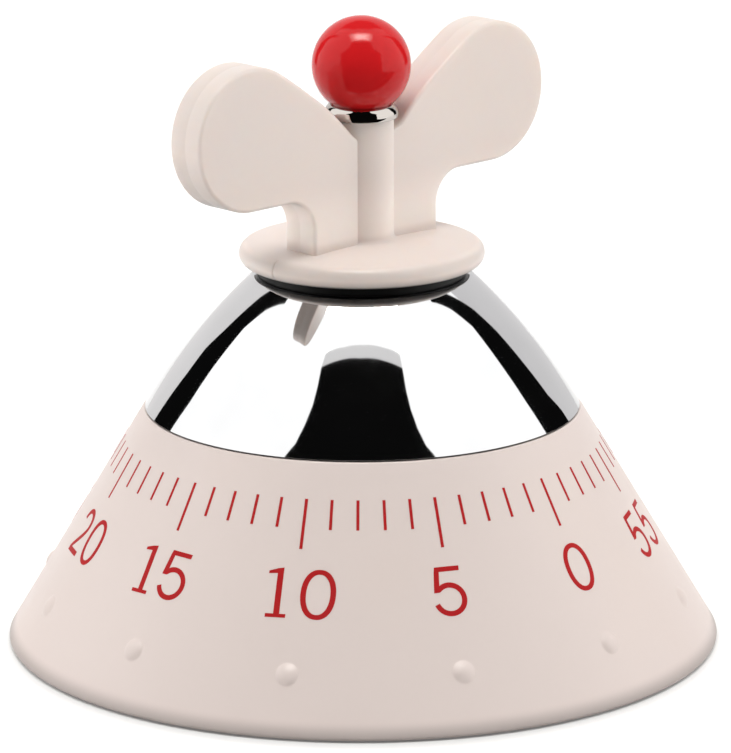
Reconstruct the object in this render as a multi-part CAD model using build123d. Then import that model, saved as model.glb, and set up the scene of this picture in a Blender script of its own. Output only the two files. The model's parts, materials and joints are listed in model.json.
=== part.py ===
from build123d import *
import math
import os

# ---------------------------------------------------------------------------
# Mechanical sixty-minute kitchen timer.  Millimetres, +Z up, origin at the
# centre of the base on the table.  At rest the two wings of the handle lie
# along X and the dial's zero faces -Y.
# ---------------------------------------------------------------------------

# outer shells
BASE_R = 55.57           # skirt radius at the table
SKIRT_TOP_R = 33.74      # skirt radius at its upper rim
SKIRT_TOP_Z = 36.64      # height of the upper rim
SKIRT_BOTTOM_Z = 0.25    # the rim hangs clear of the table, the rubber foot stands on it
SKIRT_WALL = 2.2
SKIRT_EDGE = 0.3         # rounding of the lower edge
DIAL_ZERO_AZ = 2.9       # zero mark, degrees from -Y towards +X
BUMP_COUNT = 12
BUMP_Z = 8.65            # height of the grip bumps on the cone
BUMP_R = 1.7             # bump radius
BUMP_H = 0.6             # bump height above the cone

DOME_GAP = 0.3           # running gap between skirt rim and dome rim
DOME_CTRL = (26.02, 49.41)
DOME_END = (14.857, 59.316)
DOME_FLAT_Z = 57.55      # flat seat on top of the dome
DOME_WALL = 1.0

# handle
DISC_R = 18.87
DISC_EDGE = 1.7          # bullnose radius of the disc
DISC_MID_Z = 60.85
DISC_CROWN_Z = 63.15
STEM_R = 4.95
STEM_TOP_Z = 82.05
WING_T = 6.6             # plate thickness
LOBE_C = (25.55, 82.65)  # lobe centre (radius, height)
LOBE_R = 10.95
NECK_X = 13.1            # outer edge of the neck
NECK_FILLET = 5.0
WING_IN_X = 3.5          # inner edge of the wing plate, inside the stem
WING_IN_Z = 78.75        # where the upper edge runs into the stem
WING_EDGE = 0.8          # rounding of the plate's edges
WING_SLOPE = ((14.0, 88.1), (9.5, 84.75), (5.3, 80.75))   # upper edge from lobe to stem

COLLAR_R = 5.7
COLLAR_Z0, COLLAR_Z1 = 82.05, 84.5
BALL_R = 7.59
BALL_Z = 90.02

RING_R = 16.1            # black ring under the disc
RING_LIP_R = 17.9        # its thin lip against the disc
RING_IN_R = 11.0

# base
PLATE_R = 50.4           # base plate radius
PLATE_Z0, PLATE_Z1 = 0.9, 3.1
FOOT_R0, FOOT_R1 = 45.5, 49.4

# movement
LOWER_Z0, LOWER_Z1 = 13.0, 14.2
UPPER_Z0, UPPER_Z1 = 27.0, 28.2
MOVE_R = 31.0            # movement plate radius
PILLAR_R = 27.0          # pitch radius of pillars and posts
PILLAR_ANGLES = (150.0, 240.0, 330.0)
PRESSURE = 25.0          # gear pressure angle
MAIN_T, SECOND_T, THIRD_T, PINION_T = 60, 48, 48, 12
MAIN_M, SECOND_M, THIRD_M = 0.6, 0.5, 0.35
ARBOR_R = 3.0            # main arbor radius in the upper plate
RUN = 0.05               # running radial clearance

# gear centres
CD1 = MAIN_M * (MAIN_T + PINION_T) / 2
CD2 = SECOND_M * (SECOND_T + PINION_T) / 2
CD3 = THIRD_M * (THIRD_T + PINION_T) / 2
D1, D2, D3 = 90.0, -20.0, -60.0


def polar(r, deg, c=(0.0, 0.0)):
    a = math.radians(deg)
    return (c[0] + r * math.cos(a), c[1] + r * math.sin(a))


C2 = polar(CD1, D1)
C3 = polar(CD2, D2, C2)
CE = polar(CD3, D3, C3)
CP = polar(8.6, -30.0, CE)          # pallet arbor
CH = polar(24.0, 200.0)             # hammer arbor


def cyl(r, z0, z1, c=(0.0, 0.0)):
    return Pos(c[0], c[1], (z0 + z1) / 2) * Cylinder(r, abs(z1 - z0))


def tube(ro, ri, z0, z1, c=(0.0, 0.0)):
    return cyl(ro, z0, z1, c) - cyl(ri, z0 - 1, z1 + 1, c)


def prism(pts, z0, z1):
    face = make_face(Polyline(*[(p[0], p[1], z0) for p in pts], close=True))
    return extrude(face, z1 - z0, dir=(0, 0, 1))


def turned(pts):
    """Solid of revolution about Z from (r, z) corner points."""
    face = make_face(Polyline(*[(p[0], 0, p[1]) for p in pts], close=True))
    return revolve(face, Axis.Z, 360)


def bar(p, q, w, z0, z1):
    """Flat bar of width w with round ends from p to q."""
    a = math.atan2(q[1] - p[1], q[0] - p[0])
    nx, ny = -math.sin(a) * w / 2, math.cos(a) * w / 2
    body = prism([(p[0] + nx, p[1] + ny), (q[0] + nx, q[1] + ny),
                  (q[0] - nx, q[1] - ny), (p[0] - nx, p[1] - ny)], z0, z1)
    return body + cyl(w / 2, z0, z1, p) + cyl(w / 2, z0, z1, q)


def gear(teeth, m, phase, c, z0, z1, add=0.9, ded=1.2, slack=0.10, n=5):
    """Involute spur gear; phase is the direction of a tooth centre in degrees."""
    pa = math.radians(PRESSURE)
    r = m * teeth / 2
    rb, ra, rf = r * math.cos(pa), r + add * m, r - ded * m
    inv = math.tan(pa) - pa
    half = math.pi / (2 * teeth) - slack * m / r
    pts = []
    lo = max(rb, rf)
    for k in range(teeth):
        mid = math.radians(phase) + 2 * math.pi * k / teeth
        side = []
        for i in range(n + 1):
            rho = lo + (ra - lo) * i / n
            a = math.acos(min(1.0, rb / rho))
            side.append((rho, half + inv - (math.tan(a) - a)))
        if rf < rb:
            side.insert(0, (rf, side[0][1]))
        for rho, w in side:
            pts.append(polar(rho, math.degrees(mid - w), c))
        for rho, w in reversed(side):
            pts.append(polar(rho, math.degrees(mid + w), c))
    return prism(pts, z0, z1)


def group(items):
    return Compound(children=list(items))


P = {}

# ------------------------------------------------------------------ dial skirt
def cone_r(z):
    return BASE_R + (SKIRT_TOP_R - BASE_R) * z / SKIRT_TOP_Z


slope = math.atan2(BASE_R - SKIRT_TOP_R, SKIRT_TOP_Z)
wall = SKIRT_WALL / math.cos(slope)
zb, zt = SKIRT_BOTTOM_Z, SKIRT_TOP_Z
edge_c = (cone_r(zb) - SKIRT_EDGE / math.tan(math.pi / 4 - slope / 2), zb + SKIRT_EDGE)
outer = [polar(SKIRT_EDGE, a, edge_c) for a in (-90.0, -60.0, -30.0, 0.0, math.degrees(slope))] + [(cone_r(zt), zt)]
inner = [(cone_r(zt) - wall, zt), (cone_r(3.4) - wall, 3.4), (51.2, 3.4), (51.2, zb)]
skirt = turned(outer + inner)
cone_fill = turned([(0, PLATE_Z1), (cone_r(3.6) - 3.2, PLATE_Z1), (cone_r(3.6) - 0.5, 3.6), (cone_r(30) - 0.5, 30), (0, 30)])
BOSS_R, BOSS_ANGLES = 42.6, (90.0, 210.0, 330.0)
for a in BOSS_ANGLES:
    boss = cyl(3.4, PLATE_Z1, 22, polar(BOSS_R, a)) & cone_fill
    skirt = skirt + boss
    skirt = skirt - cyl(1.55, 2.0, 12.6, polar(BOSS_R, a))
for k in range(BUMP_COUNT):
    az = math.radians(DIAL_ZERO_AZ + 360.0 / BUMP_COUNT * k - 90.0)
    rc = cone_r(BUMP_Z)
    rho = (BUMP_R ** 2 + BUMP_H ** 2) / (2 * BUMP_H)
    off = BUMP_H - rho
    rr, zz = rc + off * math.cos(slope), BUMP_Z + off * math.sin(slope)
    ball = Pos(rr * math.cos(az), rr * math.sin(az), zz) * Sphere(rho)
    skin = turned([(cone_r(BUMP_Z - 4) - 0.8, BUMP_Z - 4), (cone_r(BUMP_Z - 4) + 4, BUMP_Z - 4),
                   (cone_r(BUMP_Z + 4) + 4, BUMP_Z + 4), (cone_r(BUMP_Z + 4) - 0.8, BUMP_Z + 4)])
    skirt = skirt + (ball & skin)
P["dial_skirt"] = skirt

# ------------------------------------------------------------------ base
plate = cyl(PLATE_R, PLATE_Z0, PLATE_Z1)
plate = plate - tube(FOOT_R1 + 0.02, FOOT_R0 - 0.02, PLATE_Z0 - 1, PLATE_Z0 + 0.7)
for a in BOSS_ANGLES:
    plate = plate - cyl(1.7, 0, 4, polar(BOSS_R, a)) - cyl(2.75, 0, PLATE_Z0 + 1.2, polar(BOSS_R, a))
for a in PILLAR_ANGLES:
    plate = plate - cyl(1.3, 0, 4, polar(PILLAR_R, a)) - cyl(2.45, 0, PLATE_Z0 + 1.2, polar(PILLAR_R, a))
plate = plate - cyl(2.05, 0, 4)
P["base_plate"] = plate
P["foot_ring"] = tube(FOOT_R1, FOOT_R0, 0.0, PLATE_Z0 + 0.7)


def screw(c, head_r, head_z0, head_z1, shank_r, tip_z, slot=0.55):
    up = tip_z > head_z1
    s = cyl(head_r, head_z0, head_z1, c) + cyl(shank_r, head_z1 - 0.1 if up else head_z0 + 0.1, tip_z, c)
    zc = head_z0 if up else head_z1
    for ang in (0, 90):
        s = s - Pos(c[0], c[1], zc) * Rot(0, 0, ang) * Box(head_r * 1.2, 0.6, 2 * slot)
    return s


P["base_screws"] = group(screw(polar(BOSS_R, a), 2.6, PLATE_Z0 + 0.15, PLATE_Z0 + 1.2, 1.5, 11.5) for a in BOSS_ANGLES)
P["movement_posts"] = group(
    cyl(2.6, PLATE_Z1, LOWER_Z0, polar(PILLAR_R, a)) - cyl(1.05, PLATE_Z1 - 1, LOWER_Z0 + 1, polar(PILLAR_R, a))
    for a in PILLAR_ANGLES)
P["movement_screws"] = group(screw(polar(PILLAR_R, a), 2.3, PLATE_Z0 + 0.15, PLATE_Z0 + 1.2, 1.0, 8.0) for a in PILLAR_ANGLES)

# ------------------------------------------------------------------ movement plates
lower = cyl(MOVE_R, LOWER_Z0, LOWER_Z1)
upper = cyl(MOVE_R, UPPER_Z0, UPPER_Z1)
for a in PILLAR_ANGLES:
    lower = lower - cyl(1.02, 10, 16, polar(PILLAR_R, a))
    upper = upper - cyl(1.3, 25, 30, polar(PILLAR_R, a))
PIVOT = 0.6
for c in (C2, C3, CE, CP):
    lower = lower - cyl(PIVOT + RUN, 10, 16, c)
    upper = upper - cyl(PIVOT + RUN, 25, 30, c)
lower = lower - cyl(1.0 + RUN, 10, 16, CH) - cyl(2.0 + RUN, 10, 16)
upper = upper - cyl(PIVOT + RUN, 25, 30, CH) - cyl(ARBOR_R + RUN, 25, 30)
SPRING_POST = polar(24.2, 285.0)
upper = upper - cyl(0.8, 25, 30, SPRING_POST)
STOP_ANGLE, STOP_PITCH = 285.0, 14.8
upper = upper - cyl(0.5, 25, 30, polar(STOP_PITCH, STOP_ANGLE))
LEAF_A = polar(27.5, 186.0)
lower = lower - cyl(0.6, 10, 16, LEAF_A)
P["lower_plate"] = lower
P["upper_plate"] = upper
P["plate_pillars"] = group(
    cyl(2.2, LOWER_Z1, UPPER_Z0, polar(PILLAR_R, a)) + cyl(1.0, LOWER_Z0 - 3.5, LOWER_Z1 + 0.1, polar(PILLAR_R, a))
    - cyl(1.1, UPPER_Z0 - 5, UPPER_Z0 + 1, polar(PILLAR_R, a)) for a in PILLAR_ANGLES)
P["plate_screws"] = group(screw(polar(PILLAR_R, a), 2.0, UPPER_Z1, UPPER_Z1 + 1.3, 1.05, UPPER_Z0 - 4.5) for a in PILLAR_ANGLES)
P["stop_post"] = cyl(0.5, UPPER_Z0 - 2.6, UPPER_Z1, polar(STOP_PITCH, STOP_ANGLE))

# ------------------------------------------------------------------ bell and hammer
BELL_R = 18.0
bell = turned([(1.3, 10.4), (6, 10.4), (12, 9.6), (16, 7.6), (17.3, 5.4), (17.5, 4.6), (BELL_R + 0.2, 4.6),
               (BELL_R, 5.6), (16.8, 8.2), (12.4, 10.4), (6, 11.2), (1.3, 11.2)])
P["bell"] = bell
P["bell_post"] = cyl(2.0, PLATE_Z0 + 0.3, PLATE_Z1 + 0.1) + cyl(2.8, PLATE_Z1, 10.4) - cyl(1.05, 6, 11)
P["bell_screw"] = screw((0, 0), 2.2, 11.2, 12.4, 1.0, 7.0)

HEAD = polar(20.6, 170.0)
P["hammer_arbor"] = cyl(1.0, 5.6, UPPER_Z0 - 0.2, CH) + cyl(PIVOT, UPPER_Z0 - 0.3, UPPER_Z1 - 0.1, CH)
arm = cyl(2.3, 6.4, 9.2, CH) + bar(CH, HEAD, 2.4, 7.0, 8.2)
P["hammer_arm"] = arm - cyl(1.0, 5, 11, CH) - cyl(1.0, 5, 11, HEAD)
P["hammer_head"] = cyl(1.0, 6.6, 8.6, HEAD) + cyl(1.8, 8.2, 10.6, HEAD) + cyl(1.8, 4.8, 7.0, HEAD)
FEEL = polar(9.6, 205.0)
feel = cyl(2.2, 14.7, 17.4, CH) + bar(CH, FEEL, 1.6, 15.2, 16.2)
P["trip_feeler"] = feel - cyl(1.0, 13, 19, CH)
LEAF_B = polar(25.2, 171.0)
P["hammer_spring"] = (bar(LEAF_A, LEAF_B, 0.5, 8.4, 12.4) + cyl(1.5, 12.2, LOWER_Z0, LEAF_A)
                      + cyl(0.6, 12.5, LOWER_Z1, LEAF_A))

# ------------------------------------------------------------------ going train
MAIN_Z0, MAIN_Z1 = 22.0, 23.4
main = gear(MAIN_T, MAIN_M, D1, (0, 0), MAIN_Z0, MAIN_Z1)
main = main - cyl(ARBOR_R, 20, 25) - cyl(0.5, 20, 25, polar(STOP_PITCH, STOP_ANGLE - 5.0))
for k in range(4):
    main = main - cyl(3.4, 20, 25, polar(10.2, 45 + 90 * k))
P["main_wheel"] = main
P["stop_pin"] = cyl(0.5, MAIN_Z0, 25.6, polar(STOP_PITCH, STOP_ANGLE - 5.0))
cam_disc = cyl(8.0, 15.2, 16.4) - cyl(2.2, 15, 17) - cyl(1.4, 15, 17, polar(8.3, 205.0))
P["trip_cam"] = cam_disc
P["main_arbor"] = (cyl(2.0, LOWER_Z0 + 0.1, 14.6) + cyl(2.2, 14.4, 17.0) + cyl(ARBOR_R, 16.6, 54.0) + cyl(2.5, 53.9, 76.0)
                   + cyl(4.4, 20.8, MAIN_Z0) - cyl(1.25, 66.0, 77.0) - tube(4, 2.5, 26.2, 26.7))
P["clutch_washer"] = tube(5.4, ARBOR_R, MAIN_Z1, MAIN_Z1 + 0.5)
P["arbor_clip"] = tube(5.0, 2.5, 26.25, 26.65) - Pos(3.5, 0, 26.4) * Box(3.4, 4.0, 2.0)
P["second_arbor"] = (cyl(PIVOT, LOWER_Z0 + 0.1, UPPER_Z1 - 0.1, C2) + cyl(1.3, LOWER_Z1 + 0.2, UPPER_Z0 - 0.2, C2)
                     + gear(PINION_T, MAIN_M, D1 + 180 + 180.0 / PINION_T, C2, 21.0, 24.6))
second = gear(SECOND_T, SECOND_M, D2, C2, 17.0, 18.2) - cyl(1.3, 16, 19, C2)
for k in range(4):
    second = second - cyl(2.4, 16, 19, polar(6.8, 45 + 90 * k, C2))
P["second_wheel"] = second
P["third_arbor"] = (cyl(PIVOT, LOWER_Z0 + 0.1, UPPER_Z1 - 0.1, C3) + cyl(1.2, LOWER_Z1 + 0.2, UPPER_Z0 - 0.2, C3)
                    + gear(PINION_T, SECOND_M, D2 + 180 + 180.0 / PINION_T, C3, 16.4, 18.8))
third = gear(THIRD_T, THIRD_M, D3, C3, 19.3, 20.3) - cyl(1.2, 18, 22, C3)
for k in range(4):
    third = third - cyl(1.7, 18, 22, polar(4.6, 45 + 90 * k, C3))
P["third_wheel"] = third
P["escape_arbor"] = (cyl(PIVOT, LOWER_Z0 + 0.1, UPPER_Z1 - 0.1, CE) + cyl(1.0, LOWER_Z1 + 0.2, UPPER_Z0 - 0.2, CE)
                     + gear(PINION_T, THIRD_M, D3 + 180 + 180.0 / PINION_T, CE, 18.8, 20.8))
ESC_R, ESC_T = 5.2, 15
esc = []
for k in range(ESC_T):
    a = 360.0 / ESC_T * k
    esc += [polar(3.7, a - 9, CE), polar(3.7, a - 3, CE), polar(ESC_R, a + 6, CE), polar(ESC_R, a + 8, CE)]
P["escape_wheel"] = prism(esc, 15.4, 16.4) - cyl(1.0, 14, 18, CE)

# pallet lever with its inertia bar rocks beside the escape wheel
P["pallet_arbor"] = cyl(PIVOT, LOWER_Z0 + 0.1, UPPER_Z1 - 0.1, CP) + cyl(1.0, LOWER_Z1 + 0.2, UPPER_Z0 - 0.2, CP)
PIN_A = polar(6.3, -30.0 + 52.0, CE)
PIN_B = polar(6.3, -30.0 - 52.0, CE)
pal = cyl(2.0, 16.8, 18.4, CP) + bar(CP, PIN_A, 1.3, 17.2, 18.0) + bar(CP, PIN_B, 1.3, 17.2, 18.0)
tail = polar(4.6, -30.0, CP)
pal = pal + bar(CP, tail, 1.6, 17.2, 18.0)
P["pallet_lever"] = pal - cyl(1.0, 15, 20, CP) - cyl(0.35, 15, 20, PIN_A) - cyl(0.35, 15, 20, PIN_B)
P["pallet_pins"] = group(cyl(0.35, 15.2, 18.0, c) for c in (PIN_A, PIN_B))

# ------------------------------------------------------------------ mainspring
SPRING_Z0, SPRING_Z1 = 29.6, 33.6
turns, pitch, th = 6.0, 2.6, 0.4
start_r = 6.4
steps = int(turns * 24)
inn, out = [], []
end_angle = 285.0
for i in range(steps + 1):
    f = i / steps
    ang = end_angle - 360.0 * turns * (1 - f)
    r = start_r + pitch * turns * f
    inn.append(polar(r - th / 2, ang))
    out.append(polar(r + th / 2, ang))
P["mainspring"] = prism(inn + out[::-1], SPRING_Z0, SPRING_Z1)
post_r = start_r + pitch * turns + th / 2
P["spring_post"] = cyl(1.6, UPPER_Z1, SPRING_Z1 + 0.6, SPRING_POST) + cyl(0.8, UPPER_Z0, UPPER_Z1 + 0.1, SPRING_POST)
P["spring_hub"] = tube(5.9, ARBOR_R, SPRING_Z0 - 0.6, SPRING_Z1 + 0.4)

# ------------------------------------------------------------------ dome and its seat
def bez(t, p0, p1, p2):
    return tuple((1 - t) ** 2 * a + 2 * t * (1 - t) * b + t * t * c for a, b, c in zip(p0, p1, p2))


B0, B1, B2 = (SKIRT_TOP_R, SKIRT_TOP_Z), DOME_CTRL, DOME_END


def t_at(z):
    lo, hi = 0.0, 1.0
    for _ in range(60):
        mid = (lo + hi) / 2
        lo, hi = (mid, hi) if bez(mid, B0, B1, B2)[1] < z else (lo, mid)
    return lo


ta, tb = t_at(SKIRT_TOP_Z + DOME_GAP), t_at(DOME_FLAT_Z - 0.2)


def offset_pt(t, d):
    r, z = bez(t, B0, B1, B2)
    dr = 2 * (1 - t) * (B1[0] - B0[0]) + 2 * t * (B2[0] - B1[0])
    dz = 2 * (1 - t) * (B1[1] - B0[1]) + 2 * t * (B2[1] - B1[1])
    n = math.hypot(dr, dz)
    return (r - d * dz / n, z + d * dr / n)


N = 12
ts = [ta + (tb - ta) * i / N for i in range(N + 1)]
o_pts = [offset_pt(t, 0) for t in ts]
i_pts = [offset_pt(t, DOME_WALL) for t in ts]
i_pts[0] = (i_pts[0][0] - 0.18, o_pts[0][1])
i_pts = [p for p in i_pts if p[1] < DOME_FLAT_Z - DOME_WALL - 0.05]
ot = Spline(*[(r, 0, z) for r, z in o_pts])
it = Spline(*[(r, 0, z) for r, z in i_pts])
r_o, z_o = o_pts[-1]
r_i, z_i = i_pts[-1]
HOLE_R = 4.0
rim = Polyline((r_o, 0, z_o), (r_o - 0.35, 0, DOME_FLAT_Z), (HOLE_R, 0, DOME_FLAT_Z), (HOLE_R, 0, DOME_FLAT_Z - DOME_WALL),
               (r_i - 0.3, 0, DOME_FLAT_Z - DOME_WALL), (r_i, 0, z_i))
foot = Line((o_pts[0][0], 0, o_pts[0][1]), (i_pts[0][0], 0, i_pts[0][1]))
P["dome"] = revolve(make_face([ot, it, foot] + list(rim.edges())), Axis.Z, 360)
P["drive_flange"] = (cyl(13.2, 54.0, DOME_FLAT_Z - DOME_WALL) + cyl(6.0, 50.5, 54.1)
                     - cyl(ARBOR_R, 45, 54.0) - cyl(2.5, 53, 58))

# ------------------------------------------------------------------ ring, handle, collar, ball
zr0, zr1 = DOME_FLAT_Z, DISC_MID_Z - DISC_EDGE
ring_face = make_face([
    Line((RING_IN_R, 0, zr0), (RING_R - 0.4, 0, zr0)),
    ThreePointArc((RING_R - 0.4, 0, zr0), (RING_R - 0.117, 0, zr0 + 0.117), (RING_R, 0, zr0 + 0.4)),
    Line((RING_R, 0, zr0 + 0.4), (RING_R, 0, zr1 - 0.45)),
    Line((RING_R, 0, zr1 - 0.45), (RING_LIP_R, 0, zr1 - 0.12)),
    Line((RING_LIP_R, 0, zr1 - 0.12), (RING_LIP_R, 0, zr1)),
    Line((RING_LIP_R, 0, zr1), (RING_IN_R, 0, zr1)),
    Line((RING_IN_R, 0, zr1), (RING_IN_R, 0, zr0)),
])
P["gasket_ring"] = revolve(ring_face, Axis.Z, 360)

zd0, zd1 = DISC_MID_Z - DISC_EDGE, DISC_MID_Z + DISC_EDGE
re = DISC_R - DISC_EDGE
disc_face = make_face([
    Line((0, 0, zd0), (re, 0, zd0)),
    ThreePointArc((re, 0, zd0), (DISC_R, 0, DISC_MID_Z), (re, 0, zd1)),
    ThreePointArc((re, 0, zd1), (re * 0.62, 0, zd1 + (DISC_CROWN_Z - zd1) * 0.72), (STEM_R - 0.5, 0, DISC_CROWN_Z)),
    Line((STEM_R - 0.5, 0, DISC_CROWN_Z), (0, 0, DISC_CROWN_Z)),
    Line((0, 0, DISC_CROWN_Z), (0, 0, zd0)),
])
handle = revolve(disc_face, Axis.Z, 360)
handle = handle + cyl(STEM_R, DISC_MID_Z, STEM_TOP_Z)
# lower spigot that centres the ring and the dome
handle = handle + cyl(RING_IN_R - 0.05, zr0, zd0 + 0.1)


def wing_face(side):
    def p(u, z):
        return (side * u, 0, z)
    uc, zc = LOBE_C
    zlow = zc - LOBE_R
    k = NECK_FILLET * (1 - math.sqrt(0.5))
    tang = 31.8
    fu = uc - LOBE_R * math.sin(math.radians(tang))
    fz = zc + LOBE_R * math.cos(math.radians(tang))
    z0 = DISC_MID_Z + 0.3
    return make_face([
        Line(p(WING_IN_X, z0), p(NECK_X, z0)),
        Line(p(NECK_X, z0), p(NECK_X, zlow - NECK_FILLET)),
        ThreePointArc(p(NECK_X, zlow - NECK_FILLET), p(NECK_X + k, zlow - k), p(NECK_X + NECK_FILLET, zlow)),
        Line(p(NECK_X + NECK_FILLET, zlow), p(uc, zlow)),
        ThreePointArc(p(uc, zlow), p(uc + LOBE_R, zc), p(fu, fz)),
        Spline(p(fu, fz), *[p(*q) for q in WING_SLOPE],
               tangents=[(-side * math.cos(math.radians(tang)), 0, -math.sin(math.radians(tang))), (-side * 0.7, 0, -0.72)]),
        Line(p(*WING_SLOPE[-1]), p(WING_IN_X, WING_IN_Z)),
        Line(p(WING_IN_X, WING_IN_Z), p(WING_IN_X, z0)),
    ])


for side in (1, -1):
    wing = extrude(wing_face(side), WING_T / 2, dir=(0, 1, 0), both=True)
    rims = [e for e in wing.edges() if abs(abs(e.center().Y) - WING_T / 2) < 1e-4
            and abs(e.center().X) > WING_IN_X + 0.05 and e.center().Z > DISC_MID_Z + 0.5]
    wing = fillet(rims, WING_EDGE)
    web = Pos(side * 3.4, 0, (DISC_CROWN_Z + 77.5) / 2 - 1) * Box(2.6, 2.6, 77.5 - DISC_CROWN_Z + 2)
    handle = handle + wing + web
handle = handle - cyl(2.5, 50, 76.2) - cyl(1.25, 70, 90)
P["wing_handle"] = handle

# collar: widest just above the stem, rounding in towards the ball
collar_face = make_face([
    Line((1.25, 0, COLLAR_Z0), (COLLAR_R - 0.06, 0, COLLAR_Z0)),
    ThreePointArc((COLLAR_R - 0.06, 0, COLLAR_Z0), (COLLAR_R - 0.197, 0, 83.437), (COLLAR_R - 1.25, 0, COLLAR_Z1)),
    Line((COLLAR_R - 1.25, 0, COLLAR_Z1), (1.25, 0, COLLAR_Z1)),
    Line((1.25, 0, COLLAR_Z1), (1.25, 0, COLLAR_Z0)),
])
ball_seat = Pos(0, 0, BALL_Z) * Sphere(BALL_R)
P["collar_ring"] = revolve(collar_face, Axis.Z, 360) - ball_seat
P["ball_finial"] = ball_seat - cyl(1.25, BALL_Z - BALL_R - 1, BALL_Z + 0.5)
P["finial_stud"] = cyl(1.25, 66.5, BALL_Z - 0.5)

os.makedirs("parts", exist_ok=True)
for name, shape in P.items():
    shape.label = name
    export_step(shape, "parts/%s.step" % name)
print(len(P), "nodes")
for nm, c in (("second", C2), ("third", C3), ("escape", CE), ("pallet", CP), ("hammer", CH)):
    print(nm, round(c[0], 4), round(c[1], 4))
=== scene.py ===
import bpy
import bmesh
import json
import math
import numpy as np
from mathutils import Vector, Matrix


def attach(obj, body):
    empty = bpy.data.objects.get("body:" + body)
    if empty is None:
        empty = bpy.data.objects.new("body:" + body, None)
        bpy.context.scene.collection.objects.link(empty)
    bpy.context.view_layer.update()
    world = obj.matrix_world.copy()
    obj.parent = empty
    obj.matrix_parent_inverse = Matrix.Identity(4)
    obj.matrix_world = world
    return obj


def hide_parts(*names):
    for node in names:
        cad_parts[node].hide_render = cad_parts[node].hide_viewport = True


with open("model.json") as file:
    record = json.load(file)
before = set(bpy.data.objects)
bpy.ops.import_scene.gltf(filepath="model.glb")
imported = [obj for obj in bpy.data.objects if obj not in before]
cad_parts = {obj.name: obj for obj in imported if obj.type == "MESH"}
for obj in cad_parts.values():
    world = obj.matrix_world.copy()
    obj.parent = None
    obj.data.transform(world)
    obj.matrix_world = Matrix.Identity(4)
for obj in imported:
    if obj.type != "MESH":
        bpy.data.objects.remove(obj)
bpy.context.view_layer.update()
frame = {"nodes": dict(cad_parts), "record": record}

scene = bpy.context.scene
MM = 0.001

# ---------------------------------------------------------------------------
# sizes in millimetres, as the construction has them
# ---------------------------------------------------------------------------
BASE_R, TOP_R, TOP_Z, RIM_Z = 55.57, 33.74, 36.64, 0.25
WALL = 2.2
ZERO_AZ = 2.9
PRINT_AZ = 2.7
BUMP_Z, BUMP_R, BUMP_H = 8.65, 1.72, 0.6
DOME_CTRL, DOME_END, DOME_FLAT_Z, DOME_GAP, DOME_WALL = (26.02, 49.41), (14.857, 59.316), 57.55, 0.2, 1.0
DISC_R, DISC_EDGE, DISC_MID_Z, DISC_CROWN_Z = 18.87, 1.7, 60.85, 63.15
STEM_R, STEM_TOP_Z = 4.95, 82.05
WING_T, LOBE_C, LOBE_R = 6.6, (25.55, 82.65), 10.95
NECK_X, NECK_FILLET = 13.1, 5.0
WING_IN_X, WING_IN_Z = 4.0, 79.4
WING_SLOPE = ((14.0, 88.1), (9.5, 84.75), (5.3, 80.75))
COLLAR_R, COLLAR_Z0, COLLAR_Z1 = 5.7, 82.05, 84.5
BALL_R, BALL_Z = 7.59, 90.02
RING_R, RING_LIP_R, RING_IN_R = 16.1, 16.5, 11.0

SLOPE = math.atan2(BASE_R - TOP_R, TOP_Z)
SIN_S, COS_S = math.sin(SLOPE), math.cos(SLOPE)
APEX = BASE_R / SIN_S          # slant distance from the table to the cone's apex


def cone_r(z):
    return BASE_R + (TOP_R - BASE_R) * z / TOP_Z


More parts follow.
